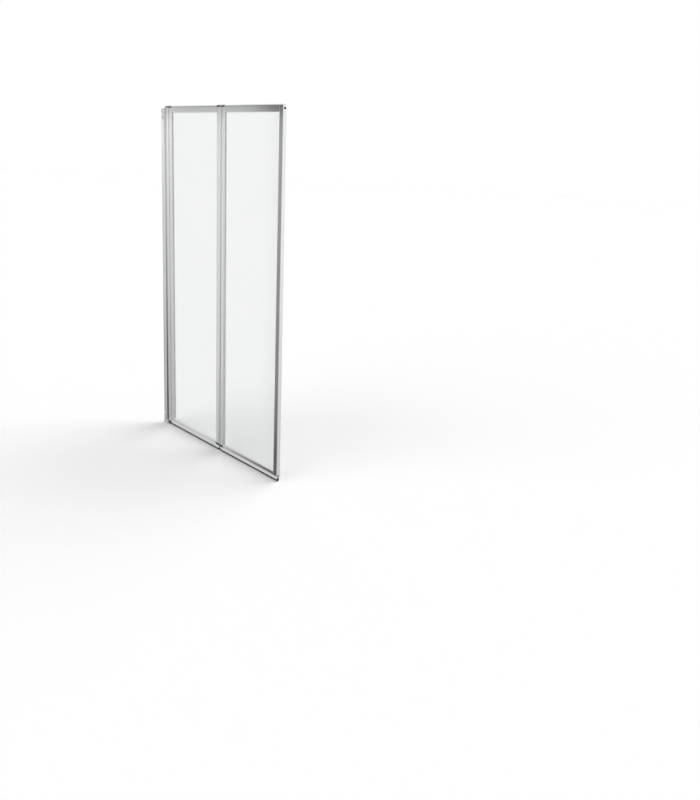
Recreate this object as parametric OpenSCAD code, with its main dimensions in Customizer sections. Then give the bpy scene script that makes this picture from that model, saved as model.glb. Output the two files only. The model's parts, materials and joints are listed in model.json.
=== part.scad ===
// Folding bath screen with two framed glass panels.
// Origin: on the wall, in the middle of the screen's thickness, at the level of the bath rim.
// +X runs along the rim away from the wall, +Y over the bath, +Z up.

/* [Overall] */
// Height from the rim to the top of the frame
screen_h = 1400; // [900:10:1600]
// Width of each panel
panel_w = 432.5; // [250:0.5:600]
// Thickness of the frame, front to back
frame_t = 15; // [14:0.5:20]
// Thickness of the glass
glass_t = 4; // [3:0.5:5]

/* [Frame] */
// Width of an upright
stile_w = 25; // [23:0.5:40]
// Height of the top rail
top_rail_h = 28; // [26:0.5:45]
// Height of the bottom rail
bottom_rail_h = 15; // [14.5:0.5:30]
// Wall thickness of the hollow profiles
wall = 1.5; // [1.2:0.1:2]
// Width of the slot that holds the glass and its gasket
slot_w = 8; // [7.5:0.1:9]
// Depth of the slot in the uprights and the top rail
slot_d = 9; // [7:0.5:10]
// Depth of the slot in the bottom rail
bottom_slot_d = 5; // [4.5:0.5:8]
// Corner radius of an upright on its hinge side
hinge_edge_r = 4; // [3:0.5:5]
// Corner radius of the other profile edges
edge_r = 0.8; // [0.3:0.1:1.2]
// Radius of an upright's edges beside the glass
lip_r = 2.5; // [1:0.1:2.5]
// Radius of the edges where a bottom rail meets its seal carrier
groove_r = 2; // [0.8:0.1:2]
// Radius along the top edges of the top rail
top_edge_r = 6.5; // [4:0.5:6.5]
// Width of the slopes along the top edges of the bottom rail
rail_slope = 2.5; // [1:0.1:3]
// Height of the end cap under the free upright
end_cap_h = 3; // [2.5:0.5:4]

/* [Wall side] */
// How far the wall profile stands out from the wall
profile_d = 26; // [20:1:30]
// Width of the wall profile, front to back
profile_w = 28; // [28:1:34]
// Corner radius of the wall profile on the wall
wall_edge_r = 4; // [1:0.5:4]
// How far the wall profile's top stays below the frame's top
profile_drop = 14; // [12:1:40]
// Distance from the wall to the panel nearest to it
panel_start = 56; // [54:1:80]
// Height of the foot under the wall profile
foot_h = 14; // [8:1:18]
// Radius of the holes for the wall screws
wall_hole_r = 2.5; // [2:0.1:3.5]
// Distance from the end wall screws to the ends of the wall profile
wall_hole_in = 60; // [40:1:200]
// Height of the lowest locking screw
lock_low = 46; // [35:1:200]
// Distance from the highest locking screw to the top of the wall profile
lock_in = 34; // [30:1:200]
// Radius of a locking screw's cover
cover_r = 7; // [5.5:0.5:8]
// Height of a locking screw's cover
cover_h = 3.5; // [2:0.5:5]

/* [Hinges] */
// Distance from a pivot to the edge of its upright
pivot_in = 7.5; // [7:0.5:9]
// Space between the two panels
joint_gap = 9; // [8:0.5:16]
// Radius along the top edges of the pivot arms
arm_edge_r = 3; // [1:0.5:3]
// Thickness of the pivot arms at the top
top_arm_h = 4.4; // [4:0.2:8]
// Thickness of the pivot arms at the bottom
bottom_arm_h = 3.6; // [3.4:0.2:6]
// Radius of the pivot bolts
bolt_r = 2.5; // [2:0.1:3]
// Radius of the pivot bolts' heads
bolt_head_r = 4; // [3.5:0.1:4.5]
// Height of the pivot bolts' heads
bolt_head_h = 1.8; // [1.4:0.1:2.2]
// Length of the pivot bolts under the head
bolt_l = 16; // [12:0.5:24]
// Thickness of a hinge block's plate at the top of an upright
top_plate_h = 3.3; // [2.5:0.1:6]
// Thickness of the washers in the pivots
washer_h = 0.6; // [0.4:0.1:1]
// Depth of the plugs inside the profiles
plug_l = 32; // [20:1:60]
// Length of the tongues inside the rails
tongue_l = 24; // [15:1:40]

/* [Bottom seal] */
// Diameter of the rubber bulb that rests on the rim
bulb_d = 8; // [7:0.5:14]
// Height of the seal carrier
carrier_h = 12; // [11.5:0.5:20]
// Thickness of the seal carrier, front to back
carrier_t = 12.6; // [11:0.1:13]
// How far the bulb sits towards the outside of the bath
bulb_out = 2; // [0:0.25:2]
// Thickness of the plugs that close the carrier
end_plug_t = 2; // [1.5:0.5:3]

/* [Fasteners] */
// Radius of the small screws
screw_r = 1.75; // [1.5:0.05:2]
// Radius of the small screws' heads
screw_head_r = 3.2; // [2.8:0.1:3.5]
// Height of the small screws' heads
screw_head_h = 1.2; // [0.8:0.1:1.4]
// Length of the screws that hold the corner blocks
block_screw_l = 8; // [6:0.5:10]
// Radius of the head of the screw in the free edge
edge_head_r = 4.2; // [3.5:0.1:4.5]
// Length of the screw in the free edge
edge_screw_l = 42; // [35:1:50]

/* [Clearances] */
// Radial clearance of the pivots
pivot_gap = 0.05; // [0.03:0.01:0.1]
// Clearance of what is pushed in or screwed in
seat_gap = 0.1; // [0.05:0.05:0.15]
// Radial clearance of a thread in its hole
thread_gap = 0.02; // [0.01:0.01:0.05]
// Clearance between a washer and its arm
face_gap = 0.1; // [0.05:0.05:0.2]
// Clearance between parts that swing past each other
swing_gap = 0.35; // [0.3:0.05:0.6]

/* [Hidden] */
$fn = 48;
eps = 0.01;

// Heights
frame_z = bulb_d + carrier_h;
arm_gap = washer_h + face_gap;
bottom_arm_z = frame_z + swing_gap;
bottom_plate_z = bottom_arm_z + bottom_arm_h + arm_gap;
stile_z = frame_z + bottom_rail_h - bottom_slot_d;
bottom_plate_h = stile_z - bottom_plate_z;
top_arm_z = screen_h - top_arm_h;
stile_top = top_arm_z - arm_gap - top_plate_h;
profile_top = screen_h - profile_drop;
cap_h = 2.5;

// Places along the rim
panel_2_start = panel_start + panel_w + joint_gap;
wall_pivot = panel_start + pivot_in;
mid_pivot_1 = panel_start + panel_w - pivot_in;
mid_pivot_2 = panel_2_start + pivot_in;

// Radius that a hinge edge sweeps, and what stays outside it
edge_sweep = norm([pivot_in - hinge_edge_r, frame_t / 2 - hinge_edge_r]) + hinge_edge_r;
post_end = wall_pivot - edge_sweep - swing_gap;
mid_post_w = mid_pivot_2 - mid_pivot_1 - 2 * (edge_sweep + swing_gap);
arm_r = frame_t / 2;
block_step = arm_r + 2 * swing_gap;

// Hollow of the uprights
chamber_half = frame_t / 2 - wall;
stile_web = stile_w - slot_d - wall;

// Glass and gasket
glass_seat = 1.2;
glass_in = slot_d - glass_seat - seat_gap;
glass_in_bottom = bottom_slot_d - glass_seat - seat_gap;
glass_w = panel_w - 2 * (stile_w - glass_in);
glass_low = frame_z + bottom_rail_h - glass_in_bottom;
glass_high = screen_h - top_rail_h + glass_in;

// Rail hollows
top_roof = screen_h - top_rail_h + slot_d + wall;
port_z = top_roof + screw_r + 1;
carrier_rib = 1.8;
rib_head = 3.5;
rib_h = wall + seat_gap + 1.4;
tongue_z = frame_z + rib_h + 2 * seat_gap;
tongue_top = min(stile_z, frame_z + bottom_rail_h - bottom_slot_d - wall) - seat_gap;

// Wall profile
post_slot = frame_t / 2 + 0.3;
post_back = 4;
post_web = profile_d + 2;
lock_x = profile_d * 0.6;
foot_reach = 8;
wall_hole_span = profile_top - 2 * wall_hole_in;
lock_span = profile_top - lock_low - lock_in;
foot_skin = 1.2;

// Spigots of the post's foot and of the end cap, and the pockets that they are pushed into
foot_spigot = [(post_web + post_end) / 2, 3, 6];
cap_spigot = [stile_w / 2, 4, 4];

// A rectangle with its own corner radius at each end
module bar(x0, x1, half, r0, r1) {
    for (s = [-1, 1]) {
        translate([x0 + r0, s * (half - r0)]) circle(r = r0);
        translate([x1 - r1, s * (half - r1)]) circle(r = r1);
    }
    translate([x0 + r0, -half]) square([x1 - x0 - r0 - r1, 2 * half]);
    translate([x0, -half + r0]) square([r0 + eps, 2 * (half - r0)]);
    translate([x1 - r1 - eps, -half + r1]) square([r1 + eps, 2 * (half - r1)]);
}

// A block from two corners
module block(a, b) {
    translate(a) cube(b - a);
}

// A square spigot on a foot or cap: place along X, half width and height, grown for its pocket
module spigot(size, grow) {
    half = size[1] + grow;
    translate([size[0] - half, -half, -eps]) cube([2 * half, 2 * half, size[2] + grow + eps]);
}

// An outline in Y and Z, drawn out along X
module along_x(x0, x1) {
    translate([x0, 0, 0]) rotate([90, 0, 90]) linear_extrude(x1 - x0) children();
}

// Keeps what lies inside a section that is drawn in Y and Z, with rounded top and bottom edges
module within(x0, x1, z0, z1, half, low_r, high_r) {
    intersection() {
        children();
        along_x(x0, x1) rotate(90) bar(z0, z1, half, low_r, high_r);
    }
}

// Hole for the thread of a small screw driven in from the bath side
module thread_hole(x, z) {
    translate([x, frame_t / 2 - block_screw_l - 0.5, z])
        rotate([-90, 0, 0]) cylinder(r = screw_r + thread_gap, h = frame_t);
}

// Wall side

module profile_outline(grow) {
    bar(-grow, profile_d + grow, profile_w / 2 + grow, wall_edge_r, 3);
}

module wall_profile() {
    slot_wall = post_slot + wall;
    color("gainsboro") difference() {
        linear_extrude(profile_top) difference() {
            profile_outline(0);
            translate([2, -post_slot]) square([profile_d, 2 * post_slot]);
            for (s = [0, 1]) mirror([0, s])
                translate([2, slot_wall]) square([profile_d - 4, profile_w / 2 - wall - slot_wall]);
        }
        for (i = [0:2]) translate([-1, 0, wall_hole_in + i * wall_hole_span / 2])
            rotate([0, 90, 0]) cylinder(r = wall_hole_r, h = 4);
        for (i = [0:2]) translate([lock_x, 0, lock_low + i * lock_span / 2]) rotate([90, 0, 0]) {
            cylinder(r = screw_r + 0.3, h = profile_w);
            translate([0, 0, slot_wall]) cylinder(r = screw_head_r + 1.2 + seat_gap, h = profile_w);
        }
    }
}

module wall_profile_cap() {
    slot_wall = post_slot + wall;
    color("lightgray") {
        translate([0, 0, profile_top]) linear_extrude(cap_h) profile_outline(0);
        for (s = [0, 1]) mirror([0, s, 0])
            block([2 + seat_gap, slot_wall + seat_gap, profile_top - 12],
                  [profile_d - 2 - seat_gap, profile_w / 2 - wall - seat_gap, profile_top + eps]);
    }
}

module wall_foot() {
    color("lightgray") {
        linear_extrude(foot_h) difference() {
            bar(0, profile_d + foot_reach, profile_w / 2 + foot_skin, edge_r, 3);
            translate([-1, 0]) bar(0, profile_d + 1 + seat_gap, profile_w / 2 + seat_gap, edge_r, 3);
        }
        block([2 + seat_gap, -post_slot + seat_gap, 0],
              [profile_d + foot_reach - 1, post_slot - seat_gap, foot_h - seat_gap]);
    }
}

module hinge_post() {
    color("gainsboro") difference() {
        translate([0, 0, foot_h]) linear_extrude(stile_top - foot_h) difference() {
            bar(post_back, post_end, frame_t / 2, edge_r, edge_r);
            translate([post_back + wall, -chamber_half])
                square([post_web - post_back - 2 * wall, 2 * chamber_half]);
            translate([post_web, -chamber_half])
                square([post_end - wall - post_web, 2 * chamber_half]);
        }
        block([post_back - 1, -frame_t, profile_top - seat_gap],
              [profile_d + seat_gap, frame_t, stile_top + 1]);
        block([post_end - 2 * wall, -chamber_half, foot_h - 1],
              [post_end + 1, chamber_half, bottom_arm_z + bottom_arm_h + 2 * seat_gap]);
        for (i = [0:2]) translate([lock_x, 0, lock_low + i * lock_span / 2])
            rotate([90, 0, 0]) cylinder(r = screw_r + thread_gap, h = frame_t);
        for (z = [stile_top - plug_l / 2, foot_h + plug_l - 6])
            translate([(post_web + post_end) / 2, 0, z])
                rotate([-90, 0, 0]) cylinder(r = screw_r + 0.3, h = frame_t);
    }
}

module lock_screws() {
    head_y = -post_slot - wall;
    color("silver") for (i = [0:2])
        translate([lock_x, head_y, lock_low + i * lock_span / 2]) {
            rotate([-90, 0, 0]) cylinder(r = screw_r, h = 6);
            rotate([90, 0, 0]) cylinder(r = screw_head_r, h = screw_head_h);
        }
}

module screw_covers() {
    stem_r = screw_head_r + 1.2;
    cover_rim = 0.8;
    dome = cover_h - cover_rim;
    dome_r = (cover_r * cover_r + dome * dome) / (2 * dome);
    color("lightgray") for (i = [0:2])
        translate([lock_x, -profile_w / 2, lock_low + i * lock_span / 2]) rotate([90, 0, 0]) {
            translate([0, 0, seat_gap]) rotate_extrude() {
                square([cover_r, cover_rim]);
                intersection() {
                    translate([0, cover_h - dome_r]) circle(r = dome_r);
                    square([cover_r, cover_h]);
                }
            }
            translate([0, 0, -wall]) cylinder(r = stem_r, h = wall + seat_gap + eps);
        }
}

// The plug of a bracket inside the outer hollow of the hinge post
module post_plug(z0, z1) {
    block([post_web + seat_gap, -chamber_half + seat_gap, z0],
          [post_end - wall - seat_gap, chamber_half - seat_gap, z1]);
}

// Hole for a pivot bolt and its head, from the head's side
module bolt_hole(depth) {
    translate([0, 0, -1]) cylinder(r = bolt_head_r + seat_gap, h = bolt_head_h + pivot_gap + 1);
    cylinder(r = bolt_r + pivot_gap, h = depth + 1);
}

// The wing slopes down over the end of the wall profile, and a notch parts it from the arm
module top_bracket() {
    slope_z = profile_top + cap_h + 4 * seat_gap;
    wing_end = profile_d + 9;
    notch_w = 8;
    notch_z = stile_top + 2;
    color("dimgray") difference() {
        union() {
            within(0, wall_pivot + arm_r + 1, stile_top - arm_edge_r, screen_h, arm_r, eps, arm_edge_r) {
                translate([0, frame_t / 2, 0]) rotate([90, 0, 0]) linear_extrude(frame_t) polygon([
                    [profile_d, stile_top], [post_end, stile_top], [post_end, screen_h],
                    [wing_end + notch_w, screen_h], [wing_end + notch_w, notch_z], [wing_end, notch_z],
                    [wing_end, screen_h], [wing_end - 2, screen_h], [profile_d - 10, slope_z],
                    [profile_d, slope_z]
                ]);
                translate([0, 0, top_arm_z]) linear_extrude(top_arm_h) {
                    translate([wall_pivot, 0]) circle(r = arm_r);
                    translate([post_end - 6, -arm_r]) square([wall_pivot - post_end + 6, 2 * arm_r]);
                }
            }
            post_plug(stile_top - plug_l, stile_top + eps);
        }
        translate([wall_pivot, 0, screen_h]) rotate([180, 0, 0]) bolt_hole(top_arm_h);
        thread_hole((post_web + post_end) / 2, stile_top - plug_l / 2);
    }
}

module bottom_bracket() {
    color("lightgray") difference() {
        union() {
            post_plug(foot_h, foot_h + plug_l);
            translate([0, 0, bottom_arm_z]) linear_extrude(bottom_arm_h) {
                translate([wall_pivot, 0]) circle(r = arm_r);
                translate([post_end - 4, -chamber_half + seat_gap])
                    square([wall_pivot - post_end + 4, 2 * (chamber_half - seat_gap)]);
            }
        }
        translate([wall_pivot, 0, bottom_arm_z]) bolt_hole(bottom_arm_h);
        translate([0, 0, foot_h]) spigot(foot_spigot, seat_gap);
        thread_hole((post_web + post_end) / 2, foot_h + plug_l - 6);
    }
}

// The foot that carries the hinge post on the rim
module post_foot() {
    color("dimgray") {
        block([profile_d + foot_reach + swing_gap, -frame_t / 2 + 0.5, 0.6],
              [post_end - 1, frame_t / 2 - 0.5, foot_h]);
        translate([0, 0, foot_h]) spigot(foot_spigot, 0);
    }
}

module bracket_screws() {
    color("silver") for (z = [stile_top - plug_l / 2, foot_h + plug_l - 6])
        translate([(post_web + post_end) / 2, frame_t / 2, z]) {
            rotate([-90, 0, 0]) cylinder(r = screw_head_r, h = screw_head_h);
            rotate([90, 0, 0]) cylinder(r = screw_r, h = block_screw_l);
        }
}

// Panel frame

// Section of an upright: the outer edge at x = 0, the slot for the glass at x = stile_w
module stile_outline(outer_r) {
    difference() {
        bar(0, stile_w, frame_t / 2, outer_r, lip_r);
        translate([stile_w - slot_d, -slot_w / 2]) square([slot_d + 1, slot_w]);
        bar(wall, stile_web, chamber_half, max(outer_r - wall, edge_r), edge_r);
    }
}

// An upright with the screw holes of its two corner blocks in its back
module stile(outer_r) {
    color("gainsboro") difference() {
        translate([0, 0, stile_z]) linear_extrude(stile_top - stile_z) stile_outline(outer_r);
        for (z = [stile_top - plug_l / 2, stile_z + plug_l / 2])
            translate([(wall + stile_web) / 2, 0, z])
                rotate([-90, 0, 0]) cylinder(r = screw_r + 0.3, h = frame_t);
    }
}

module top_rail_outline() {
    low = screen_h - top_rail_h;
    half = frame_t / 2;
    difference() {
        rotate(90) bar(low, screen_h, half, edge_r, top_edge_r);
        translate([-slot_w / 2, low - 1]) square([slot_w, slot_d + 1]);
        difference() {
            union() {
                translate([-chamber_half, top_roof])
                    square([2 * chamber_half, screen_h - top_edge_r - top_roof]);
                translate([-half + top_edge_r, top_roof])
                    square([frame_t - 2 * top_edge_r, screen_h - wall - top_roof]);
                for (s = [-1, 1]) translate([s * (half - top_edge_r), screen_h - top_edge_r])
                    circle(r = top_edge_r - wall);
            }
            translate([-screw_r - 1.2, top_roof - 1]) square([2 * screw_r + 2.4, 1 + port_z - top_roof]);
            translate([0, port_z]) circle(r = screw_r + 1.2);
        }
        translate([0, port_z]) circle(r = screw_r + thread_gap);
    }
}

module rail_screw_holes(z) {
    for (x = [stile_w + tongue_l / 2, panel_w - stile_w - tongue_l / 2])
        translate([x, 0, z]) rotate([-90, 0, 0]) cylinder(r = screw_r + 0.3, h = frame_t);
}

// Places of the screws that hold the tongues in the two rails
top_tongue_screw_z = stile_top + 2.4;
bottom_tongue_screw_z = (tongue_z + tongue_top) / 2;

module top_rail() {
    color("gainsboro") difference() {
        along_x(stile_w, panel_w - stile_w) top_rail_outline();
        rail_screw_holes(top_tongue_screw_z);
    }
}

module bottom_rail_outline() {
    half = frame_t / 2;
    difference() {
        translate([0, frame_z]) rotate(90) bar(0, bottom_rail_h, half, groove_r, edge_r);
        translate([-slot_w / 2, frame_z + bottom_rail_h - bottom_slot_d])
            square([slot_w, bottom_slot_d + 1]);
        translate([-chamber_half, frame_z + wall])
            square([2 * chamber_half, bottom_rail_h - bottom_slot_d - 2 * wall]);
        translate([-carrier_rib - seat_gap, frame_z - 1]) square([2 * (carrier_rib + seat_gap), wall + 2]);
        for (s = [-1, 1]) translate([s * half, frame_z + bottom_rail_h])
            rotate(45) square(sqrt(2) * rail_slope, center = true);
    }
}

module bottom_rail() {
    color("gainsboro") difference() {
        along_x(stile_w, panel_w - stile_w) bottom_rail_outline();
        rail_screw_holes(bottom_tongue_screw_z);
    }
}

module glass() {
    x0 = stile_w - glass_in;
    color("lightcyan", 0.35)
        block([x0, -glass_t / 2, glass_low], [x0 + glass_w, glass_t / 2, glass_high]);
}

// Channel of the gasket round the glass's edge: depth along X, its open side at x = depth
module gasket_outline(depth) {
    difference() {
        translate([0, -slot_w / 2 + seat_gap]) square([depth, slot_w - 2 * seat_gap]);
        translate([glass_seat, -glass_t / 2 - seat_gap / 2])
            square([depth, glass_t + seat_gap]);
    }
}

module gasket() {
    side = slot_d - seat_gap;
    low = frame_z + bottom_rail_h - bottom_slot_d + seat_gap;
    high = screen_h - top_rail_h + slot_d - seat_gap;
    color("silver") {
        for (s = [0, 1]) translate([s * panel_w, 0, low]) mirror([s, 0, 0])
            translate([stile_w - slot_d + seat_gap, 0, 0])
                linear_extrude(high - low) gasket_outline(side);
        along_x(stile_w + seat_gap, panel_w - stile_w - seat_gap)
            translate([0, low]) rotate(90) gasket_outline(bottom_slot_d - seat_gap);
        along_x(stile_w + seat_gap, panel_w - stile_w - seat_gap)
            translate([0, high]) rotate(-90) gasket_outline(side);
    }
}

// Corner blocks: each is drawn for the left corner, with the upright's outer edge at x = 0

module stile_plug(z0, z1, outer_r) {
    r = max(outer_r - wall - seat_gap, edge_r);
    translate([0, 0, z0]) linear_extrude(z1 - z0)
        bar(wall + seat_gap, stile_web - seat_gap, chamber_half - seat_gap, r, edge_r);
}

module top_block(pivot, outer_r) {
    step = pivot ? pivot_in + block_step : 0;
    tongue_half = min(4, chamber_half - 2);
    color(pivot ? "dimgray" : "gainsboro") difference() {
        union() {
            within(-1, stile_w + 1, stile_top - 1, screen_h, frame_t / 2, eps, top_edge_r) {
                translate([0, 0, stile_top]) linear_extrude(top_plate_h)
                    bar(0, stile_w, frame_t / 2, outer_r, lip_r);
                translate([0, 0, stile_top]) linear_extrude(screen_h - stile_top)
                    bar(step, stile_w, frame_t / 2, edge_r, lip_r);
            }
            stile_plug(stile_top - plug_l, stile_top + eps, outer_r);
            block([stile_w - 1, -tongue_half, stile_top + seat_gap],
                  [stile_w + tongue_l, tongue_half, stile_top + 4.6]);
        }
        if (pivot) translate([pivot_in, 0, screen_h - bolt_l - 1])
            cylinder(r = bolt_r + thread_gap, h = bolt_l + 2);
        thread_hole((wall + stile_web) / 2, stile_top - plug_l / 2);
        thread_hole(stile_w + tongue_l / 2, top_tongue_screw_z);
    }
}

module bottom_block(pivot, outer_r, tone = "dimgray") {
    step = pivot ? pivot_in + block_step : 0;
    low = pivot ? frame_z : frame_z + end_cap_h;
    color(tone) difference() {
        union() {
            within(-1, stile_w + 1, low, stile_z + 1, frame_t / 2, pivot ? groove_r : eps, eps) {
                translate([0, 0, bottom_plate_z]) linear_extrude(bottom_plate_h)
                    bar(0, stile_w, frame_t / 2, outer_r, lip_r);
                translate([0, 0, low]) linear_extrude(stile_z - low)
                    bar(step, stile_w, frame_t / 2, edge_r, lip_r);
            }
            stile_plug(stile_z - eps, stile_z + plug_l, outer_r);
            block([stile_w - 1, -chamber_half + seat_gap, tongue_z],
                  [stile_w + tongue_l, chamber_half - seat_gap, tongue_top]);
        }
        if (pivot) translate([pivot_in, 0, bottom_arm_z - 1])
            cylinder(r = bolt_r + thread_gap, h = bolt_l + 2);
        else translate([0, 0, low]) spigot(cap_spigot, seat_gap);
        thread_hole((wall + stile_web) / 2, stile_z + plug_l / 2);
        thread_hole(stile_w + tongue_l / 2, bottom_tongue_screw_z);
    }
}

// The cap that closes the free corner at the foot
module end_cap() {
    color("dimgray") {
        within(-1, stile_w + 1, frame_z, frame_z + end_cap_h, frame_t / 2, groove_r, eps)
            translate([0, 0, frame_z]) linear_extrude(end_cap_h)
                bar(0, stile_w, frame_t / 2, edge_r, lip_r);
        translate([0, 0, frame_z + end_cap_h]) spigot(cap_spigot, 0);
    }
}

// Screws of a panel's four corner blocks, driven from the bath side
module block_screws() {
    stile_x = (wall + stile_web) / 2;
    rail_x = stile_w + tongue_l / 2;
    color("silver") for (s = [0, 1]) translate([s * panel_w, 0, 0]) mirror([s, 0, 0])
        for (p = [
            [stile_x, stile_top - plug_l / 2], [rail_x, top_tongue_screw_z],
            [stile_x, stile_z + plug_l / 2], [rail_x, bottom_tongue_screw_z]
        ]) translate([p[0], frame_t / 2, p[1]]) {
            rotate([-90, 0, 0]) cylinder(r = screw_head_r, h = screw_head_h);
            rotate([90, 0, 0]) cylinder(r = screw_r, h = block_screw_l);
        }
}

// Pivots: the place is the axis, top says which end of the upright

module pivot_bolt(x, top) {
    z = top ? screen_h : bottom_arm_z;
    color("silver") translate([x, 0, z]) rotate([top ? 180 : 0, 0, 0]) {
        cylinder(r = bolt_head_r, h = bolt_head_h);
        cylinder(r = bolt_r, h = bolt_l);
    }
}

module pivot_washer(x, top) {
    z = top ? top_arm_z - arm_gap : bottom_plate_z - washer_h;
    color("whitesmoke") translate([x, 0, z]) difference() {
        cylinder(r = bolt_head_r + 2, h = washer_h);
        translate([0, 0, -1]) cylinder(r = bolt_r + pivot_gap, h = washer_h + 2);
    }
}

// Bottom seal

module carrier_outline() {
    translate([0, bulb_d]) rotate(90) bar(0, carrier_h, carrier_t / 2, edge_r, groove_r);
}

module seal_carrier() {
    half = carrier_t / 2;
    z0 = bulb_d;
    color("gainsboro") {
        along_x(end_plug_t, panel_w - end_plug_t) difference() {
            carrier_outline();
            translate([-half + wall, z0 + 6]) square([carrier_t - 2 * wall, carrier_h - 6 - wall]);
            translate([-half + wall, z0 + 1.2]) square([carrier_t - 2 * wall, 3.4]);
            translate([-half + 2.8, z0 - 1]) square([carrier_t - 5.6, 3]);
        }
        along_x(stile_w + seat_gap, panel_w - stile_w - seat_gap) {
            translate([-carrier_rib, frame_z - eps]) square([2 * carrier_rib, rib_h]);
            translate([-rib_head, frame_z + wall + seat_gap])
                square([2 * rib_head, rib_h - wall - seat_gap]);
        }
    }
}

module bottom_seal() {
    half = carrier_t / 2;
    r = bulb_d / 2;
    color([0.05, 0.05, 0.05]) along_x(0.2, panel_w - 0.2) difference() {
        union() {
            translate([-bulb_out, r]) circle(r = r);
            translate([-half + 2.8 + seat_gap, r]) square([carrier_t - 5.6 - 2 * seat_gap, r + 2]);
            translate([-half + wall + seat_gap, bulb_d + 1.2 + seat_gap])
                square([carrier_t - 2 * (wall + seat_gap), 3.4 - 2 * seat_gap]);
        }
        translate([-bulb_out, r]) circle(r = r - 1.6);
    }
}

module carrier_plugs() {
    half = carrier_t / 2;
    color("silver") for (s = [0, 1]) translate([s * panel_w, 0, 0]) mirror([s, 0, 0]) {
        intersection() {
            translate([0, 0, bulb_d + 4.8]) linear_extrude(carrier_h) difference() {
                bar(0, 4, half, 2, edge_r);
                translate([end_plug_t, -half - 1]) square([3, carrier_t + 2]);
            }
            along_x(-1, end_plug_t + 1) carrier_outline();
        }
        block([end_plug_t - eps, -half + wall + seat_gap, bulb_d + 6 + seat_gap],
              [end_plug_t + 12, half - wall - seat_gap, frame_z - wall - seat_gap]);
    }
}

// Middle joint

module mid_link(z, h, head_side) {
    middle = (mid_pivot_1 + mid_pivot_2) / 2;
    high_r = head_side > 0 ? arm_edge_r : eps;
    color("dimgray") difference() {
        within(mid_pivot_1 - arm_r - 1, mid_pivot_2 + arm_r + 1, z - arm_edge_r, z + h, arm_r, eps, high_r)
            translate([0, 0, z]) linear_extrude(h) {
                translate([mid_pivot_1, -arm_r]) square([mid_pivot_2 - mid_pivot_1, 2 * arm_r]);
                for (x = [mid_pivot_1, mid_pivot_2]) translate([x, 0]) circle(r = arm_r);
            }
        for (x = [mid_pivot_1, mid_pivot_2]) translate([x, 0, head_side > 0 ? z + h : z])
            rotate([head_side > 0 ? 180 : 0, 0, 0]) bolt_hole(h);
        translate([middle, 0, head_side > 0 ? z + h : z]) rotate([head_side > 0 ? 180 : 0, 0, 0]) {
            translate([0, 0, -1]) cylinder(r = screw_head_r + seat_gap, h = screw_head_h + 1);
            cylinder(r = screw_r + 0.3, h = h + 1);
        }
    }
}

module mid_link_top() {
    mid_link(top_arm_z, top_arm_h, 1);
}

module mid_link_bottom() {
    mid_link(bottom_arm_z, bottom_arm_h, -1);
}

module mid_post() {
    middle = (mid_pivot_1 + mid_pivot_2) / 2;
    low = bottom_arm_z + bottom_arm_h;
    color("gainsboro") difference() {
        translate([0, 0, low]) linear_extrude(top_arm_z - low)
            bar(middle - mid_post_w / 2, middle + mid_post_w / 2, frame_t / 2, edge_r, edge_r);
        translate([middle, 0, low - 1]) cylinder(r = screw_r + thread_gap, h = 20);
        translate([middle, 0, top_arm_z - 19]) cylinder(r = screw_r + thread_gap, h = 20);
    }
}

module mid_post_screws() {
    middle = (mid_pivot_1 + mid_pivot_2) / 2;
    color("silver") for (top = [0, 1])
        translate([middle, 0, top ? screen_h : bottom_arm_z]) rotate([180 * top, 0, 0]) {
            cylinder(r = screw_head_r, h = screw_head_h);
            cylinder(r = screw_r, h = 18);
        }
}

// Places a piece drawn for the left corner of a panel, or mirrors it to the right corner

module at_left(start) {
    translate([start, 0, 0]) children();
}

module at_right(start) {
    translate([start + panel_w, 0, 0]) mirror([1, 0, 0]) children();
}

// The free upright has a hole in its edge for the screw into the top rail

module free_stile() {
    difference() {
        stile(edge_r);
        translate([-1, 0, port_z]) rotate([0, 90, 0]) cylinder(r = screw_r + 0.3, h = stile_w);
        translate([-1, 0, port_z]) rotate([0, 90, 0])
            cylinder(r = edge_head_r + seat_gap, h = 1 + wall);
    }
}

module free_top_block() {
    difference() {
        top_block(false, edge_r);
        translate([-1, 0, port_z]) rotate([0, 90, 0]) cylinder(r = screw_r + 0.3, h = stile_w);
    }
}

module edge_screw() {
    color("dimgray") translate([0, 0, port_z]) rotate([0, 90, 0]) {
        cylinder(r = edge_head_r, h = wall + seat_gap);
        cylinder(r = screw_r, h = edge_screw_l);
    }
}

wall_profile();
wall_profile_cap();
wall_foot();
hinge_post();
lock_screws();
screw_covers();
top_bracket();
bottom_bracket();
post_foot();
bracket_screws();
at_left(panel_start) stile(hinge_edge_r);  // panel_1_left_stile
at_right(panel_start) stile(hinge_edge_r);  // panel_1_right_stile
at_left(panel_start) top_rail();  // panel_1_top_rail
at_left(panel_start) bottom_rail();  // panel_1_bottom_rail
at_left(panel_start) glass();  // panel_1_glass
at_left(panel_start) gasket();  // panel_1_gasket
at_left(panel_start) top_block(true, hinge_edge_r);  // panel_1_top_left_block
at_right(panel_start) top_block(true, hinge_edge_r);  // panel_1_top_right_block
at_left(panel_start) bottom_block(true, hinge_edge_r, "lightgray");  // panel_1_bottom_left_block
at_right(panel_start) bottom_block(true, hinge_edge_r);  // panel_1_bottom_right_block
at_left(panel_start) block_screws();  // panel_1_block_screws
for (x = [wall_pivot, mid_pivot_1]) for (top = [false, true]) pivot_bolt(x, top);  // panel_1_pivot_bolts
for (x = [wall_pivot, mid_pivot_1]) for (top = [false, true]) pivot_washer(x, top);  // panel_1_pivot_washers
at_left(panel_start) seal_carrier();  // panel_1_seal_carrier
at_left(panel_start) bottom_seal();  // panel_1_bottom_seal
at_left(panel_start) carrier_plugs();  // panel_1_carrier_plugs
mid_post();
mid_link_top();
mid_link_bottom();
mid_post_screws();
at_left(panel_2_start) stile(hinge_edge_r);  // panel_2_left_stile
at_right(panel_2_start) free_stile();  // panel_2_right_stile
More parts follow.
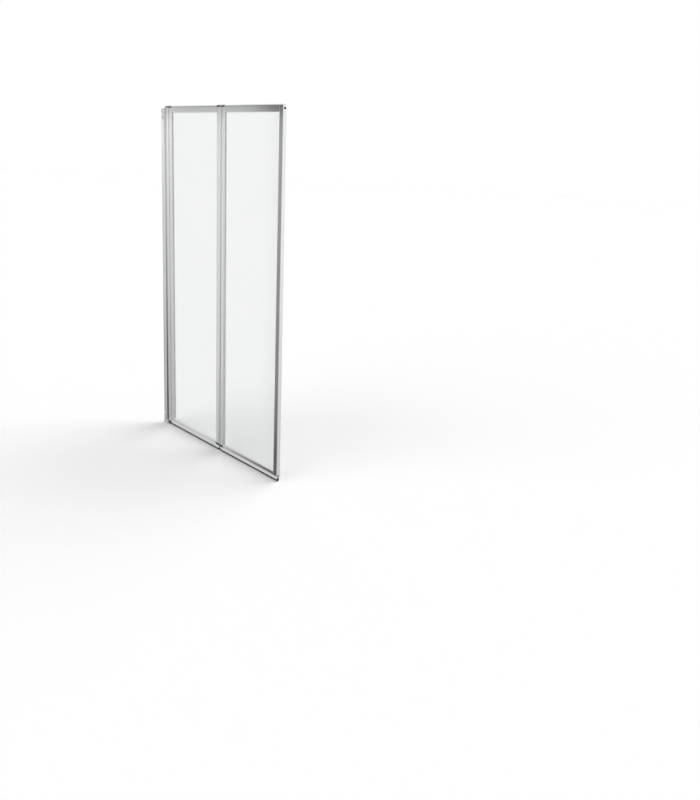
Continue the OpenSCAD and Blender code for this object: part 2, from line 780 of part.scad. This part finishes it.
at_left(panel_2_start) top_rail();  // panel_2_top_rail
at_left(panel_2_start) bottom_rail();  // panel_2_bottom_rail
at_left(panel_2_start) glass();  // panel_2_glass
at_left(panel_2_start) gasket();  // panel_2_gasket
at_left(panel_2_start) top_block(true, hinge_edge_r);  // panel_2_top_left_block
at_right(panel_2_start) free_top_block();  // panel_2_top_right_block
at_left(panel_2_start) bottom_block(true, hinge_edge_r);  // panel_2_bottom_left_block
at_right(panel_2_start) bottom_block(false, edge_r, "gainsboro");  // panel_2_bottom_right_block
at_right(panel_2_start) end_cap();  // panel_2_end_cap
at_left(panel_2_start) block_screws();  // panel_2_block_screws
at_right(panel_2_start) edge_screw();  // panel_2_edge_screw
for (top = [false, true]) pivot_bolt(mid_pivot_2, top);  // panel_2_pivot_bolts
for (top = [false, true]) pivot_washer(mid_pivot_2, top);  // panel_2_pivot_washers
at_left(panel_2_start) seal_carrier();  // panel_2_seal_carrier
at_left(panel_2_start) bottom_seal();  // panel_2_bottom_seal
at_left(panel_2_start) carrier_plugs();  // panel_2_carrier_plugs
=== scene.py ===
"""Looks of the folding bath screen: materials, detailed fasteners, stage, light and camera."""

import json
import math

import bmesh
import bpy
from mathutils import Matrix, Vector

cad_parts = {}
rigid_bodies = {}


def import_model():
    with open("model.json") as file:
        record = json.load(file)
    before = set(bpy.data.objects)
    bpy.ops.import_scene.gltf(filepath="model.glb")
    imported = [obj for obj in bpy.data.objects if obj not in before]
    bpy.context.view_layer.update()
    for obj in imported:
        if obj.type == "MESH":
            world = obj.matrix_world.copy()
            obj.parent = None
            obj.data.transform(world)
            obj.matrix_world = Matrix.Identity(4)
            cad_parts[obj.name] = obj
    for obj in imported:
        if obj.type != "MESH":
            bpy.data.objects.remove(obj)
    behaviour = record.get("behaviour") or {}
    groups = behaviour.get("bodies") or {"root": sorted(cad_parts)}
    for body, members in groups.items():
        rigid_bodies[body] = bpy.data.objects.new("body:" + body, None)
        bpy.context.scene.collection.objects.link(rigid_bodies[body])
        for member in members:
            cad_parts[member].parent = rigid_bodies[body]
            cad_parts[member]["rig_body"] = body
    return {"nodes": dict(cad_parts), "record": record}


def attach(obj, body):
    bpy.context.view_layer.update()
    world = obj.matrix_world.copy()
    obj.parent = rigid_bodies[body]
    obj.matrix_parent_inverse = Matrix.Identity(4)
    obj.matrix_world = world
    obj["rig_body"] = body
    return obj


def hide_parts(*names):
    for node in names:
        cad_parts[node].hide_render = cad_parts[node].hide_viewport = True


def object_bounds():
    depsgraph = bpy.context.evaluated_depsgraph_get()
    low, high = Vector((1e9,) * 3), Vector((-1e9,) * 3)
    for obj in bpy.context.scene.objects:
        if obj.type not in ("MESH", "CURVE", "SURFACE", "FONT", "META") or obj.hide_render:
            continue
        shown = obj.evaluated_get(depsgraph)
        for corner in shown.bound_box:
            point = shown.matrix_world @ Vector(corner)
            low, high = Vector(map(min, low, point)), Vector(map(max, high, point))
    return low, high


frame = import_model()
nodes = frame["nodes"]
cad_box = [list(corner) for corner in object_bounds()]
MM = 0.001
X_AXIS, Y_AXIS, Z_AXIS = range(3)
WHITE = (1, 1, 1, 1)


# Camera: fitted to the lines of the photograph, in the frame of the part

CAMERA_PLACE = Vector((3.5618, -1.7034, 1.2098))
CAMERA_RIGHT = Vector((0.694526, 0.716825, 0.061607))
CAMERA_FORWARD = Vector((-0.69327, 0.689675, -0.209105))
FOCAL_PIXELS = 845.7
CENTRE_PIXEL = (455.2, 351.3)
PICTURE = (700, 800)
SENSOR = 36
NEAREST, FARTHEST = 0.05, 200


def add_camera():
    """The centre of the view lies off the middle of the picture, so the lens is shifted."""
    data = bpy.data.cameras.new("camera")
    data.sensor_width = SENSOR
    data.sensor_fit = "AUTO"
    data.lens = FOCAL_PIXELS / max(PICTURE) * SENSOR
    data.shift_x = -(CENTRE_PIXEL[0] - PICTURE[0] / 2) / max(PICTURE)
    data.shift_y = (CENTRE_PIXEL[1] - PICTURE[1] / 2) / max(PICTURE)
    data.clip_start = NEAREST
    data.clip_end = FARTHEST
    cam = bpy.data.objects.new("camera", data)
    bpy.context.scene.collection.objects.link(cam)
    back = -CAMERA_FORWARD.normalized()
    right = (CAMERA_RIGHT - back * CAMERA_RIGHT.dot(back)).normalized()
    up = back.cross(right)
    turn = Matrix((right, up, back)).transposed()
    cam.matrix_world = Matrix.Translation(CAMERA_PLACE) @ turn.to_4x4()
    bpy.context.scene.camera = cam


add_camera()


# Node helpers

NOISE_RANGE = (0.3, 0.7)  # nearly all of a noise lies in it


class Tree:
    """Short names for adding and joining shader nodes."""

    def __init__(self, tree):
        self.tree = tree
        tree.nodes.clear()

    def add(self, kind, **values):
        """Adds a node and sets the inputs named, with _ for each space in a name."""
        node = self.tree.nodes.new(kind)
        for key, value in values.items():
            node.inputs[key.replace("_", " ")].default_value = value
        return node

    def join(self, out, into):
        self.tree.links.new(out, into)

    def math(self, operation, a, b):
        node = self.tree.nodes.new("ShaderNodeMath")
        node.operation = operation
        for socket, value in zip(node.inputs, (a, b)):
            if isinstance(value, (int, float)):
                socket.default_value = value
            else:
                self.join(value, socket)
        return node.outputs[0]

    def ramp(self, value, low, high, to_low, to_high):
        node = self.add("ShaderNodeMapRange", From_Min=low, From_Max=high, To_Min=to_low, To_Max=to_high)
        self.join(value, node.inputs["Value"])
        return node.outputs["Result"]

    def either(self, factor, off, on):
        """The shader off where the factor is 0, and on where it is 1."""
        node = self.add("ShaderNodeMixShader")
        self.join(factor, node.inputs["Fac"])
        self.join(off.outputs[0], node.inputs[1])
        self.join(on.outputs[0], node.inputs[2])
        return node

    def finish(self, shader, kind="ShaderNodeOutputMaterial"):
        self.join(shader.outputs[0], self.add(kind).inputs["Surface"])


def new_material(name):
    material = bpy.data.materials.new(name)
    material.use_nodes = True
    return material, Tree(material.node_tree)


def noise(t, scale, stretch=(1, 1, 1), detail=2.0):
    """Noise in the part's own place, finer or coarser along each axis."""
    place = t.add("ShaderNodeTexCoord")
    mapping = t.add("ShaderNodeMapping", Scale=stretch)
    t.join(place.outputs["Object"], mapping.inputs["Vector"])
    node = t.add("ShaderNodeTexNoise", Scale=scale, Detail=detail)
    t.join(mapping.outputs["Vector"], node.inputs["Vector"])
    return node.outputs["Fac"]


def blend(t, first, second, share):
    """Two noises in one: share of the first, and the rest of the second."""
    return t.math("ADD", t.math("MULTIPLY", first, share), t.math("MULTIPLY", second, 1 - share))


def scaled(colour, factor):
    return [min(1, channel * factor) for channel in colour]


def vary_colour(t, shader, factor, dark, light):
    node = t.add("ShaderNodeMix")
    node.data_type = "RGBA"
    t.join(factor, node.inputs["Factor"])
    node.inputs["A"].default_value = (*dark, 1)
    node.inputs["B"].default_value = (*light, 1)
    t.join(node.outputs["Result"], shader.inputs["Base Color"])


def vary_roughness(t, shader, factor, least, most):
    t.join(t.ramp(factor, *NOISE_RANGE, least, most), shader.inputs["Roughness"])


def add_relief(t, shader, height, strength, depth):
    bump = t.add("ShaderNodeBump", Strength=strength, Distance=depth)
    t.join(height, bump.inputs["Height"])
    t.join(bump.outputs["Normal"], shader.inputs["Normal"])


# Materials

def aluminium(name, colour, roughness, along):
    """Drawn aluminium: fine lines along the profile, and faint clouds in the finish."""
    material, t = new_material(name)
    line_scale, lengthwise_scale = 2600.0, 9.0
    stretch = tuple(lengthwise_scale / line_scale if axis == along else 1.0 for axis in "XYZ")
    lines = noise(t, line_scale, stretch, 3.0)
    clouds = noise(t, 14.0, detail=3.0)
    shade = blend(t, lines, clouds, 0.7)
    shader = t.add("ShaderNodeBsdfPrincipled", Metallic=1.0)
    vary_colour(t, shader, shade, scaled(colour, 0.93), colour)
    vary_roughness(t, shader, shade, roughness * 0.85, roughness * 1.2)
    add_relief(t, shader, lines, 0.12, 0.04 * MM)
    t.finish(shader)
    return material


def satin_aluminium(name, colour, roughness):
    """Matt anodised aluminium: a grey skin over the metal, drawn along X."""
    material, t = new_material(name)
    lines = noise(t, 2000.0, (0.005, 1.0, 1.0), 3.0)
    clouds = noise(t, 12.0, detail=3.0)
    shade = blend(t, lines, clouds, 0.6)
    shader = t.add("ShaderNodeBsdfPrincipled", Metallic=0.3)
    vary_colour(t, shader, shade, scaled(colour, 0.92), colour)
    vary_roughness(t, shader, shade, roughness * 0.85, roughness * 1.15)
    add_relief(t, shader, lines, 0.15, 0.04 * MM)
    t.finish(shader)
    return material


def plastic(name, colour, roughness, grain):
    """Moulded plastic with a fine etched grain."""
    material, t = new_material(name)
    pits = noise(t, 1800.0)
    clouds = noise(t, 35.0, detail=3.0)
    shader = t.add("ShaderNodeBsdfPrincipled", IOR=1.49)
    vary_colour(t, shader, clouds, scaled(colour, 0.88), scaled(colour, 1.08))
    vary_roughness(t, shader, pits, roughness * 0.85, roughness * 1.15)
    add_relief(t, shader, pits, grain, 0.06 * MM)
    t.finish(shader)
    return material


def rubber(name, colour, roughness):
    """Extruded rubber with dust on it, and faint lines along X."""
    material, t = new_material(name)
    lines = noise(t, 1400.0, (0.01, 1.0, 1.0))
    dust = noise(t, 90.0, detail=4.0)
    dusty = [min(1, channel * 1.5 + 0.004) for channel in colour]
    shader = t.add("ShaderNodeBsdfPrincipled", IOR=1.5)
    vary_colour(t, shader, dust, colour, dusty)
    vary_roughness(t, shader, dust, roughness * 0.85, roughness * 1.15)
    add_relief(t, shader, lines, 0.25, 0.05 * MM)
    t.finish(shader)
    return material


def steel(name, colour, roughness):
    """Machined steel of the screws and bolts."""
    material, t = new_material(name)
    marks = noise(t, 2200.0, (1, 1, 0.2), 3.0)
    shader = t.add("ShaderNodeBsdfPrincipled", Metallic=1.0)
    vary_colour(t, shader, marks, scaled(colour, 0.85), colour)
    vary_roughness(t, shader, marks, roughness * 0.8, roughness * 1.25)
    add_relief(t, shader, marks, 0.15, 0.03 * MM)
    t.finish(shader)
    return material


def clear_glass(name, tint):
    """Toughened glass: faintly tinted, with slight waves, and clear to the light that casts shadows."""
    material, t = new_material(name)
    glass = t.add("ShaderNodeBsdfPrincipled", Roughness=0.0, IOR=1.5, Transmission_Weight=1.0)
    glass.inputs["Base Color"].default_value = (*tint, 1)
    waves = noise(t, 3.0, (1, 1, 4), 1.0)
    add_relief(t, glass, waves, 0.02, 0.4 * MM)
    clear = t.add("ShaderNodeBsdfTransparent", Color=(0.99, 0.99, 0.99, 1))
    path = t.add("ShaderNodeLightPath")
    t.finish(t.either(path.outputs["Is Shadow Ray"], glass, clear))
    return material


ALUMINIUM = (0.89, 0.895, 0.905)
upright_metal = aluminium("frame_aluminium_upright", ALUMINIUM, 0.16, "Z")
rail_metal = aluminium("frame_aluminium_rail", ALUMINIUM, 0.16, "X")
screw_steel = steel("screw_steel", (0.62, 0.62, 0.63), 0.24)
dark_steel = steel("dark_steel", (0.02, 0.02, 0.023), 0.4)

BY_SLOT = {
    "carrier_aluminium": satin_aluminium("carrier_aluminium", (0.93, 0.935, 0.94), 0.45),
    "light_plastic": plastic("light_plastic", (0.62, 0.62, 0.63), 0.38, 0.12),
    "dark_plastic": plastic("dark_plastic", (0.045, 0.045, 0.048), 0.42, 0.2),
    "grey_plastic": plastic("grey_plastic", (0.28, 0.28, 0.285), 0.42, 0.15),
    "washer_plastic": plastic("washer_plastic", (0.8, 0.8, 0.78), 0.4, 0.1),
    "gasket_rubber": rubber("gasket_rubber", (0.8, 0.805, 0.81), 0.5),
    "seal_rubber": rubber("seal_rubber", (0.016, 0.016, 0.017), 0.5),
    "panes": clear_glass("panes", (0.905, 0.914, 0.911)),
    "screw_steel": screw_steel,
    "dark_steel": dark_steel,
}


def dress(obj, material):
    obj.data.materials.clear()
    obj.data.materials.append(material)


for part in frame["record"]["subparts"]:
    name, slot_name = part["node"], part["material_slot"]
    if slot_name == "frame_aluminium":
        dress(nodes[name], rail_metal if name.endswith("rail") else upright_metal)
    else:
        dress(nodes[name], BY_SLOT[slot_name])


# Fasteners with their drives

SCREW_SHANK_R = 1.75 * MM
SCREW_HEAD_H = 1.2 * MM
EDGE_HEAD_H = 1.6 * MM
BOLT_SHANK_R = 2.5 * MM
BOLT_HEAD_H = 1.8 * MM
CHAMFER = 0.25 * MM
CROSS_REACH = 0.42  # of the head's radius
HEX_ACROSS = 0.8  # of the head's radius
HEX_DEPTH = 0.75  # of the head's height
DOMED_CROSS_DEPTH = 1.1  # of the head's height
EDGE_CROSS_DEPTH = 0.9  # of the head's height
BACK_TURNS = (17, 37)  # of the first drive, and from each to the next, in degrees
UPRIGHT_TURNS = (11, 23)
ROUND_STEPS = 40
SHARP_ANGLE = math.radians(32)
SAME_PLACE = 0.001 * MM
SORT_DIGITS = 5
WELD = 0.002 * MM


def islands(node):
    """The separate solids of a node, as (lowest corner, highest corner)."""
    bm = bmesh.new()
    bm.from_mesh(nodes[node].data)
    bmesh.ops.remove_doubles(bm, verts=bm.verts, dist=SAME_PLACE)
    left = set(bm.verts)
    boxes = []
    while left:
        seed = left.pop()
        group, waiting = [seed], [seed]
        while waiting:
            for edge in waiting.pop().link_edges:
                for v in edge.verts:
                    if v in left:
                        left.remove(v)
                        group.append(v)
                        waiting.append(v)
        low = Vector([min(v.co[i] for v in group) for i in range(3)])
        high = Vector([max(v.co[i] for v in group) for i in range(3)])
        boxes.append((low, high))
    bm.free()
    return sorted(boxes, key=lambda box: tuple(round(c, SORT_DIGITS) for c in box[0]))


def turned(bm, profile, steps=ROUND_STEPS):
    """Turns a profile of (radius, height) about Z into a closed solid. It starts and ends at radius 0."""
    rings = []
    for radius, height in profile:
        if radius == 0:
            rings.append([bm.verts.new((0, 0, height))])
            continue
        angles = [2 * math.pi * i / steps for i in range(steps)]
        rings.append([bm.verts.new((radius * math.cos(a), radius * math.sin(a), height)) for a in angles])
    for a, b in zip(rings, rings[1:]):
        for i in range(steps):
            j = (i + 1) % steps
            if len(a) == 1:
                bm.faces.new((a[0], b[i], b[j]))
            elif len(b) == 1:
                bm.faces.new((a[i], b[0], a[j]))
            else:
                bm.faces.new((a[i], b[i], b[j], a[j]))


def mesh_object(name, bm):
    bmesh.ops.recalc_face_normals(bm, faces=bm.faces)
    mesh = bpy.data.meshes.new(name)
    bm.to_mesh(mesh)
    bm.free()
    obj = bpy.data.objects.new(name, mesh)
    bpy.context.scene.collection.objects.link(obj)
    return obj


def cut_out(obj, cutter):
    """Cuts the cutter from obj for good, and removes the cutter."""
    boolean = obj.modifiers.new("cut", "BOOLEAN")
    boolean.operation = "DIFFERENCE"
    boolean.solver = "EXACT"
    boolean.object = cutter
    bpy.context.view_layer.update()
    depsgraph = bpy.context.evaluated_depsgraph_get()
    mesh = bpy.data.meshes.new_from_object(obj.evaluated_get(depsgraph))
    obj.modifiers.clear()
    old = obj.data
    obj.data = mesh
    bpy.data.meshes.remove(old)
    bpy.data.objects.remove(cutter)


def cross_cutter(reach, depth):
    """A tapered cross, as the tip of a cross screwdriver has it. Its arms have this reach at height 0.

    Each of its two ends has a height, a length of the arms and half the width of the arms.
    """
    tip = (-depth, 0.3 * reach, 0.24 * reach)
    top = (depth, 1.7 * reach, 0.36 * reach)
    quarters = [Matrix.Rotation(math.radians(90 * number), 3, "Z") for number in range(4)]
    bm = bmesh.new()
    rings = []
    for z, arm, half in (tip, top):
        corners = [Vector((arm, -half, z)), Vector((arm, half, z)), Vector((half, half, z))]
        rings.append([bm.verts.new(quarter @ corner) for quarter in quarters for corner in corners])
    low, high = rings
    count = len(low)
    for i in range(count):
        j = (i + 1) % count
        bm.faces.new((low[i], low[j], high[j], high[i]))
    bm.faces.new(reversed(low))
    bm.faces.new(high)
    return mesh_object("cutter", bm)


def hex_cutter(across, depth):
    bm = bmesh.new()
    radius = across / math.sqrt(3)
    turned(bm, [(0, -depth), (radius, -depth), (radius, depth), (0, depth)], 6)
    return mesh_object("cutter", bm)


def domed_profile(head_r, head_h, shank_r, length):
    """A low domed head on a shank with a pointed tip, head towards +Z, its underside at 0."""
    rim = head_h * 0.35
    dome = [
        (head_r * math.cos(a), rim + (head_h - rim) * math.sin(a))
        for a in [math.radians(degrees) for degrees in range(0, 90, 10)]
    ]
    tip = shank_r * 1.2
    point = (shank_r * 0.55, -length + tip * 0.35)
    seat = (head_r * 0.97, 0)
    return [(0, -length), point, (shank_r, -length + tip), (shank_r, 0), seat, *dome, (0, head_h)]


def flush_profile(head_r, head_h, shank_r, length):
    """A flat cylinder head with a small chamfer on a plain shank."""
    return [
        (0, -length), (shank_r - CHAMFER, -length), (shank_r, -length + CHAMFER), (shank_r, 0),
        (head_r, 0), (head_r, head_h - CHAMFER), (head_r - CHAMFER, head_h), (0, head_h),
    ]


def fastener(profile, cutter, cutter_z):
    bm = bmesh.new()
    turned(bm, profile)
    obj = mesh_object("pattern", bm)
    cutter.location.z = cutter_z
    bpy.context.view_layer.update()
    cut_out(obj, cutter)
    return obj


def copies(name, pattern, places, material, node):
    """One object with the pattern at each place, which stands for the node."""
    bm = bmesh.new()
    for place in places:
        start = len(bm.verts)
        bm.from_mesh(pattern.data)
        bm.verts.ensure_lookup_table()
        bmesh.ops.transform(bm, matrix=place, verts=bm.verts[start:])
    bmesh.ops.remove_doubles(bm, verts=bm.verts, dist=WELD)
    bmesh.ops.dissolve_degenerate(bm, edges=bm.edges, dist=WELD)
    obj = mesh_object(name, bm)
    for face in obj.data.polygons:
        face.use_smooth = True
    mod = obj.modifiers.new("flat_faces", "EDGE_SPLIT")
    mod.split_angle = SHARP_ANGLE
    dress(obj, material)
    body = nodes[node]["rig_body"]
    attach(obj, body)
    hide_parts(node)
    bpy.data.objects.remove(pattern)


TOWARDS = {
    "+Y": Matrix.Rotation(math.radians(-90), 4, "X"),
    "+X": Matrix.Rotation(math.radians(90), 4, "Y"),
    "+Z": Matrix.Identity(4),
    "-Z": Matrix.Rotation(math.radians(180), 4, "X"),
}


def middle(box):
    return (box[0] + box[1]) / 2


def drive_turn(number, first, step):
    """Each screw of a row has stopped at another angle, here in degrees."""
    return Matrix.Rotation(math.radians(first + step * number), 4, "Z")


def head_radius_and_length(node, axis, across):
    """Both of the node's first solid, which lies along one axis and is measured across another."""
    low, high = islands(node)[0]
    return (high[across] - low[across]) / 2, high[axis] - low[axis]


def back_screws(node):
    """Domed cross-head screws driven from +Y."""
    head_r, whole = head_radius_and_length(node, Y_AXIS, X_AXIS)
    profile = domed_profile(head_r, SCREW_HEAD_H, SCREW_SHANK_R, whole - SCREW_HEAD_H)
    cutter = cross_cutter(head_r * CROSS_REACH, SCREW_HEAD_H * DOMED_CROSS_DEPTH)
    pattern = fastener(profile, cutter, SCREW_HEAD_H)
    places = []
    for number, box in enumerate(islands(node)):
        at = middle(box)
        at.y = box[1].y - SCREW_HEAD_H
        places.append(Matrix.Translation(at) @ TOWARDS["+Y"] @ drive_turn(number, *BACK_TURNS))
    copies(node.replace("screws", "cross_screws"), pattern, places, screw_steel, node)


def upright_fasteners(node, name, head_h, shank_r, hexagon):
    """Flush bolts or screws along Z: the ones near the top face up, the others down."""
    head_r, whole = head_radius_and_length(node, Z_AXIS, X_AXIS)
    profile = flush_profile(head_r, head_h, shank_r, whole - head_h)
    if hexagon:
        cutter = hex_cutter(head_r * HEX_ACROSS, head_h * HEX_DEPTH)
    else:
        cutter = cross_cutter(head_r * CROSS_REACH, head_h)
    pattern = fastener(profile, cutter, head_h)
    half_way = (cad_box[0][2] + cad_box[1][2]) / 2
    places = []
    for number, box in enumerate(islands(node)):
        at = middle(box)
        up = at.z > half_way
        at.z = box[1].z - head_h if up else box[0].z + head_h
        direction = TOWARDS["+Z" if up else "-Z"]
        places.append(Matrix.Translation(at) @ direction @ drive_turn(number, *UPRIGHT_TURNS))
    copies(name, pattern, places, screw_steel, node)


def edge_screw(node):
    """The dark screw in the free edge, with its cross."""
    head_r, whole = head_radius_and_length(node, X_AXIS, Z_AXIS)
    profile = flush_profile(head_r, EDGE_HEAD_H, SCREW_SHANK_R, whole - EDGE_HEAD_H)
    cutter = cross_cutter(head_r * CROSS_REACH, EDGE_HEAD_H * EDGE_CROSS_DEPTH)
    pattern = fastener(profile, cutter, EDGE_HEAD_H)
    box = islands(node)[0]
    at = middle(box)
    at.x = box[1].x - EDGE_HEAD_H
    copies("free_edge_cross_screw", pattern, [Matrix.Translation(at) @ TOWARDS["+X"]], dark_steel, node)


for owner in ("bracket_screws", "panel_1_block_screws", "panel_2_block_screws"):
    back_screws(owner)
for owner in ("panel_1_pivot_bolts", "panel_2_pivot_bolts"):
    upright_fasteners(owner, owner.replace("bolts", "hex_bolts"), BOLT_HEAD_H, BOLT_SHANK_R, True)
upright_fasteners("mid_post_screws", "mid_post_cross_screws", SCREW_HEAD_H, SCREW_SHANK_R, False)
edge_screw("panel_2_edge_screw")


# Stage: a pale floor just under the part, and a white surround

FLOOR_COLOUR = 0.95
FLOOR_REACH = 40
FLOOR_GAP = 0.5 * MM
ROOM_LIGHT = 0.5
LAMP_LIGHT = 0.5


def add_floor():
    """A white floor that glows just enough to end in the white surround, and keeps the shadow."""
    bm = bmesh.new()
    bmesh.ops.create_grid(bm, x_segments=1, y_segments=1, size=FLOOR_REACH)
    floor = mesh_object("floor", bm)
    floor.location = (0, 0, cad_box[0][2] - FLOOR_GAP)
    material, t = new_material("floor")
    path = t.add("ShaderNodeLightPath")
    diffuse = t.add("ShaderNodeBsdfDiffuse", Color=(FLOOR_COLOUR, FLOOR_COLOUR, FLOOR_COLOUR, 1))
    glow = t.add("ShaderNodeEmission", Color=WHITE)
    seen = t.math("MAXIMUM", path.outputs["Is Camera Ray"], path.outputs["Is Transmission Ray"])
    missing = 1 - FLOOR_COLOUR * (ROOM_LIGHT + LAMP_LIGHT)
    t.join(t.math("MULTIPLY", seen, missing), glow.inputs["Strength"])
    both = t.add("ShaderNodeAddShader")
    t.join(diffuse.outputs[0], both.inputs[0])
    t.join(glow.outputs[0], both.inputs[1])
    t.finish(both)
    dress(floor, material)
    floor.visible_glossy = False


def add_world():
    """White to the camera and through the glass. Metal sees a studio that is darker overhead and below."""
    world = bpy.data.worlds.new("studio")
    bpy.context.scene.world = world
    world.use_nodes = True
    t = Tree(world.node_tree)
    place = t.add("ShaderNodeTexCoord")
    split = t.add("ShaderNodeSeparateXYZ")
    t.join(place.outputs["Generated"], split.inputs[0])
    sideways, height = split.outputs["X"], split.outputs["Z"]
    below = t.ramp(height, -0.5, -0.05, 0.5, 1.0)
    above = t.ramp(height, 0.4, 0.7, 1.0, 0.2)
    to_wall = t.ramp(sideways, -0.97, -0.88, 0.15, 1.0)
    to_room = t.ramp(sideways, 0.85, 0.97, 1.0, 0.6)
    level = t.math("MULTIPLY", t.math("MULTIPLY", below, above), t.math("MULTIPLY", to_wall, to_room))
    path = t.add("ShaderNodeLightPath")
    plain = t.math("MAXIMUM", path.outputs["Is Camera Ray"], path.outputs["Is Transmission Ray"])
    room = t.add("ShaderNodeBackground", Color=WHITE, Strength=ROOM_LIGHT)
    reflected = t.add("ShaderNodeBackground", Color=WHITE)
    t.join(level, reflected.inputs["Strength"])
    surround = t.add("ShaderNodeBackground", Color=WHITE, Strength=1.0)
    unseen = t.either(path.outputs["Is Glossy Ray"], room, reflected)
    t.finish(t.either(plain, unseen, surround), "ShaderNodeOutputWorld")


# The studio screen in front of the part: a pale wall, whose level changes between two heights, with a few
# soft-edged shades on it. Each shade has its limits along X and along Z, the width of its edges along X and
# along Z, and a factor on the level.
CARD_Y = -1.0
CARD_X = (-2.9, 3.2)
CARD_Z = (-1.4, 2.6)
FAR = 9.0
WALL_LEVEL = (0.7, 0.8)
WALL_HEIGHTS = (-0.6, 0.9)
CARD_SHADES = {
    "doorway": ((-0.68, -0.42), (-FAR, FAR), (0.14, 0.1), 0.26),
    "low_doorway": ((-0.68, -0.42), (-FAR, 0.2), (0.14, 1.0), 0.46),
    "window": ((0.0, 0.7), (-0.4, 1.6), (0.15, 0.3), 1.25),
    "lintel": ((-0.79, -0.42), (1.49, FAR), (0.1, 0.03), 0.22),
    "dark_floor": ((-1.12, FAR), (-FAR, -0.58), (0.14, 0.5), 0.4),
    "right_room": ((0.9, FAR), (-FAR, -0.2), (0.25, 1.4), 0.25),
    "low_corner": ((-FAR, -2.04), (-FAR, -0.1), (0.02, 0.3), 0.5),
    "corner": ((-FAR, -2.07), (-FAR, 1.2), (0.03, 0.1), 0.75),
    "skylight": ((-FAR, -2.0), (1.1, 1.8), (0.06, 0.3), 1.35),
    "under_ceiling": ((-FAR, FAR), (1.48, FAR), (0.05, 0.04), 0.58),
    "ceiling": ((-FAR, FAR), (2.1, FAR), (0.1, 0.6), 0.4),
}


def soft_box(t, x, z, x_limits, z_limits, edges):
    """1 inside a box of the screen and 0 outside it, with soft edges around it."""
    inside = []
    for value, (low, high), edge in ((x, x_limits, edges[0]), (z, z_limits, edges[1])):
        inside.append(t.ramp(value, low - edge, low, 0.0, 1.0))
        inside.append(t.ramp(value, high, high + edge, 1.0, 0.0))
    mask = inside[0]
    for side in inside[1:]:
        mask = t.math("MULTIPLY", mask, side)
    return mask


def add_card():
    """The studio screen, which only metal and glass reflect."""
    bm = bmesh.new()
    (x0, x1), (z0, z1) = CARD_X, CARD_Z
    bm.faces.new([bm.verts.new((x, CARD_Y, z)) for x, z in ((x0, z0), (x1, z0), (x1, z1), (x0, z1))])
    card = mesh_object("studio_card", bm)
    material, t = new_material("studio_card")
    place = t.add("ShaderNodeTexCoord")
    split = t.add("ShaderNodeSeparateXYZ")
    t.join(place.outputs["Object"], split.inputs[0])
    x, z = split.outputs["X"], split.outputs["Z"]
    level = t.ramp(z, *WALL_HEIGHTS, *WALL_LEVEL)
    for x_limits, z_limits, edges, factor in CARD_SHADES.values():
        mask = soft_box(t, x, z, x_limits, z_limits, edges)
        level = t.math("MULTIPLY", level, t.ramp(mask, 0.0, 1.0, 1.0, factor))
    glow = t.add("ShaderNodeEmission", Color=WHITE)
    t.join(level, glow.inputs["Strength"])
    t.finish(glow)
    dress(card, material)
    card.visible_camera = False
    card.visible_diffuse = False
    card.visible_transmission = False
    card.visible_shadow = False
    card.visible_volume_scatter = False


# Lamps: two wide soft ones, far away, which metal and glass don't reflect

LAMP_WIDTH = math.radians(60)
INNER_SHARE = 0.72
INNER_RISE = math.radians(42)
OUTER_RISE = math.radians(35)


def add_lamp(name, side, rise, floor_light):
    """Side 1 is towards +Y and -1 towards -Y. The floor light is the lamp's level on the floor."""
    data = bpy.data.lights.new(name, "SUN")
    data.angle = LAMP_WIDTH
    data.energy = floor_light * math.pi / math.sin(rise)
    lamp = bpy.data.objects.new(name, data)
    bpy.context.scene.collection.objects.link(lamp)
    travel = Vector((0, -side * math.cos(rise), -math.sin(rise)))
    lamp.rotation_mode = "QUATERNION"
    lamp.rotation_quaternion = travel.to_track_quat("-Z", "Y")
    lamp.visible_glossy = False
    lamp.visible_transmission = False


add_floor()
add_world()
add_card()
add_lamp("bath_side_lamp", 1, INNER_RISE, INNER_SHARE * LAMP_LIGHT)
add_lamp("outside_lamp", -1, OUTER_RISE, (1 - INNER_SHARE) * LAMP_LIGHT)
bpy.context.scene.view_settings.view_transform = "Standard"
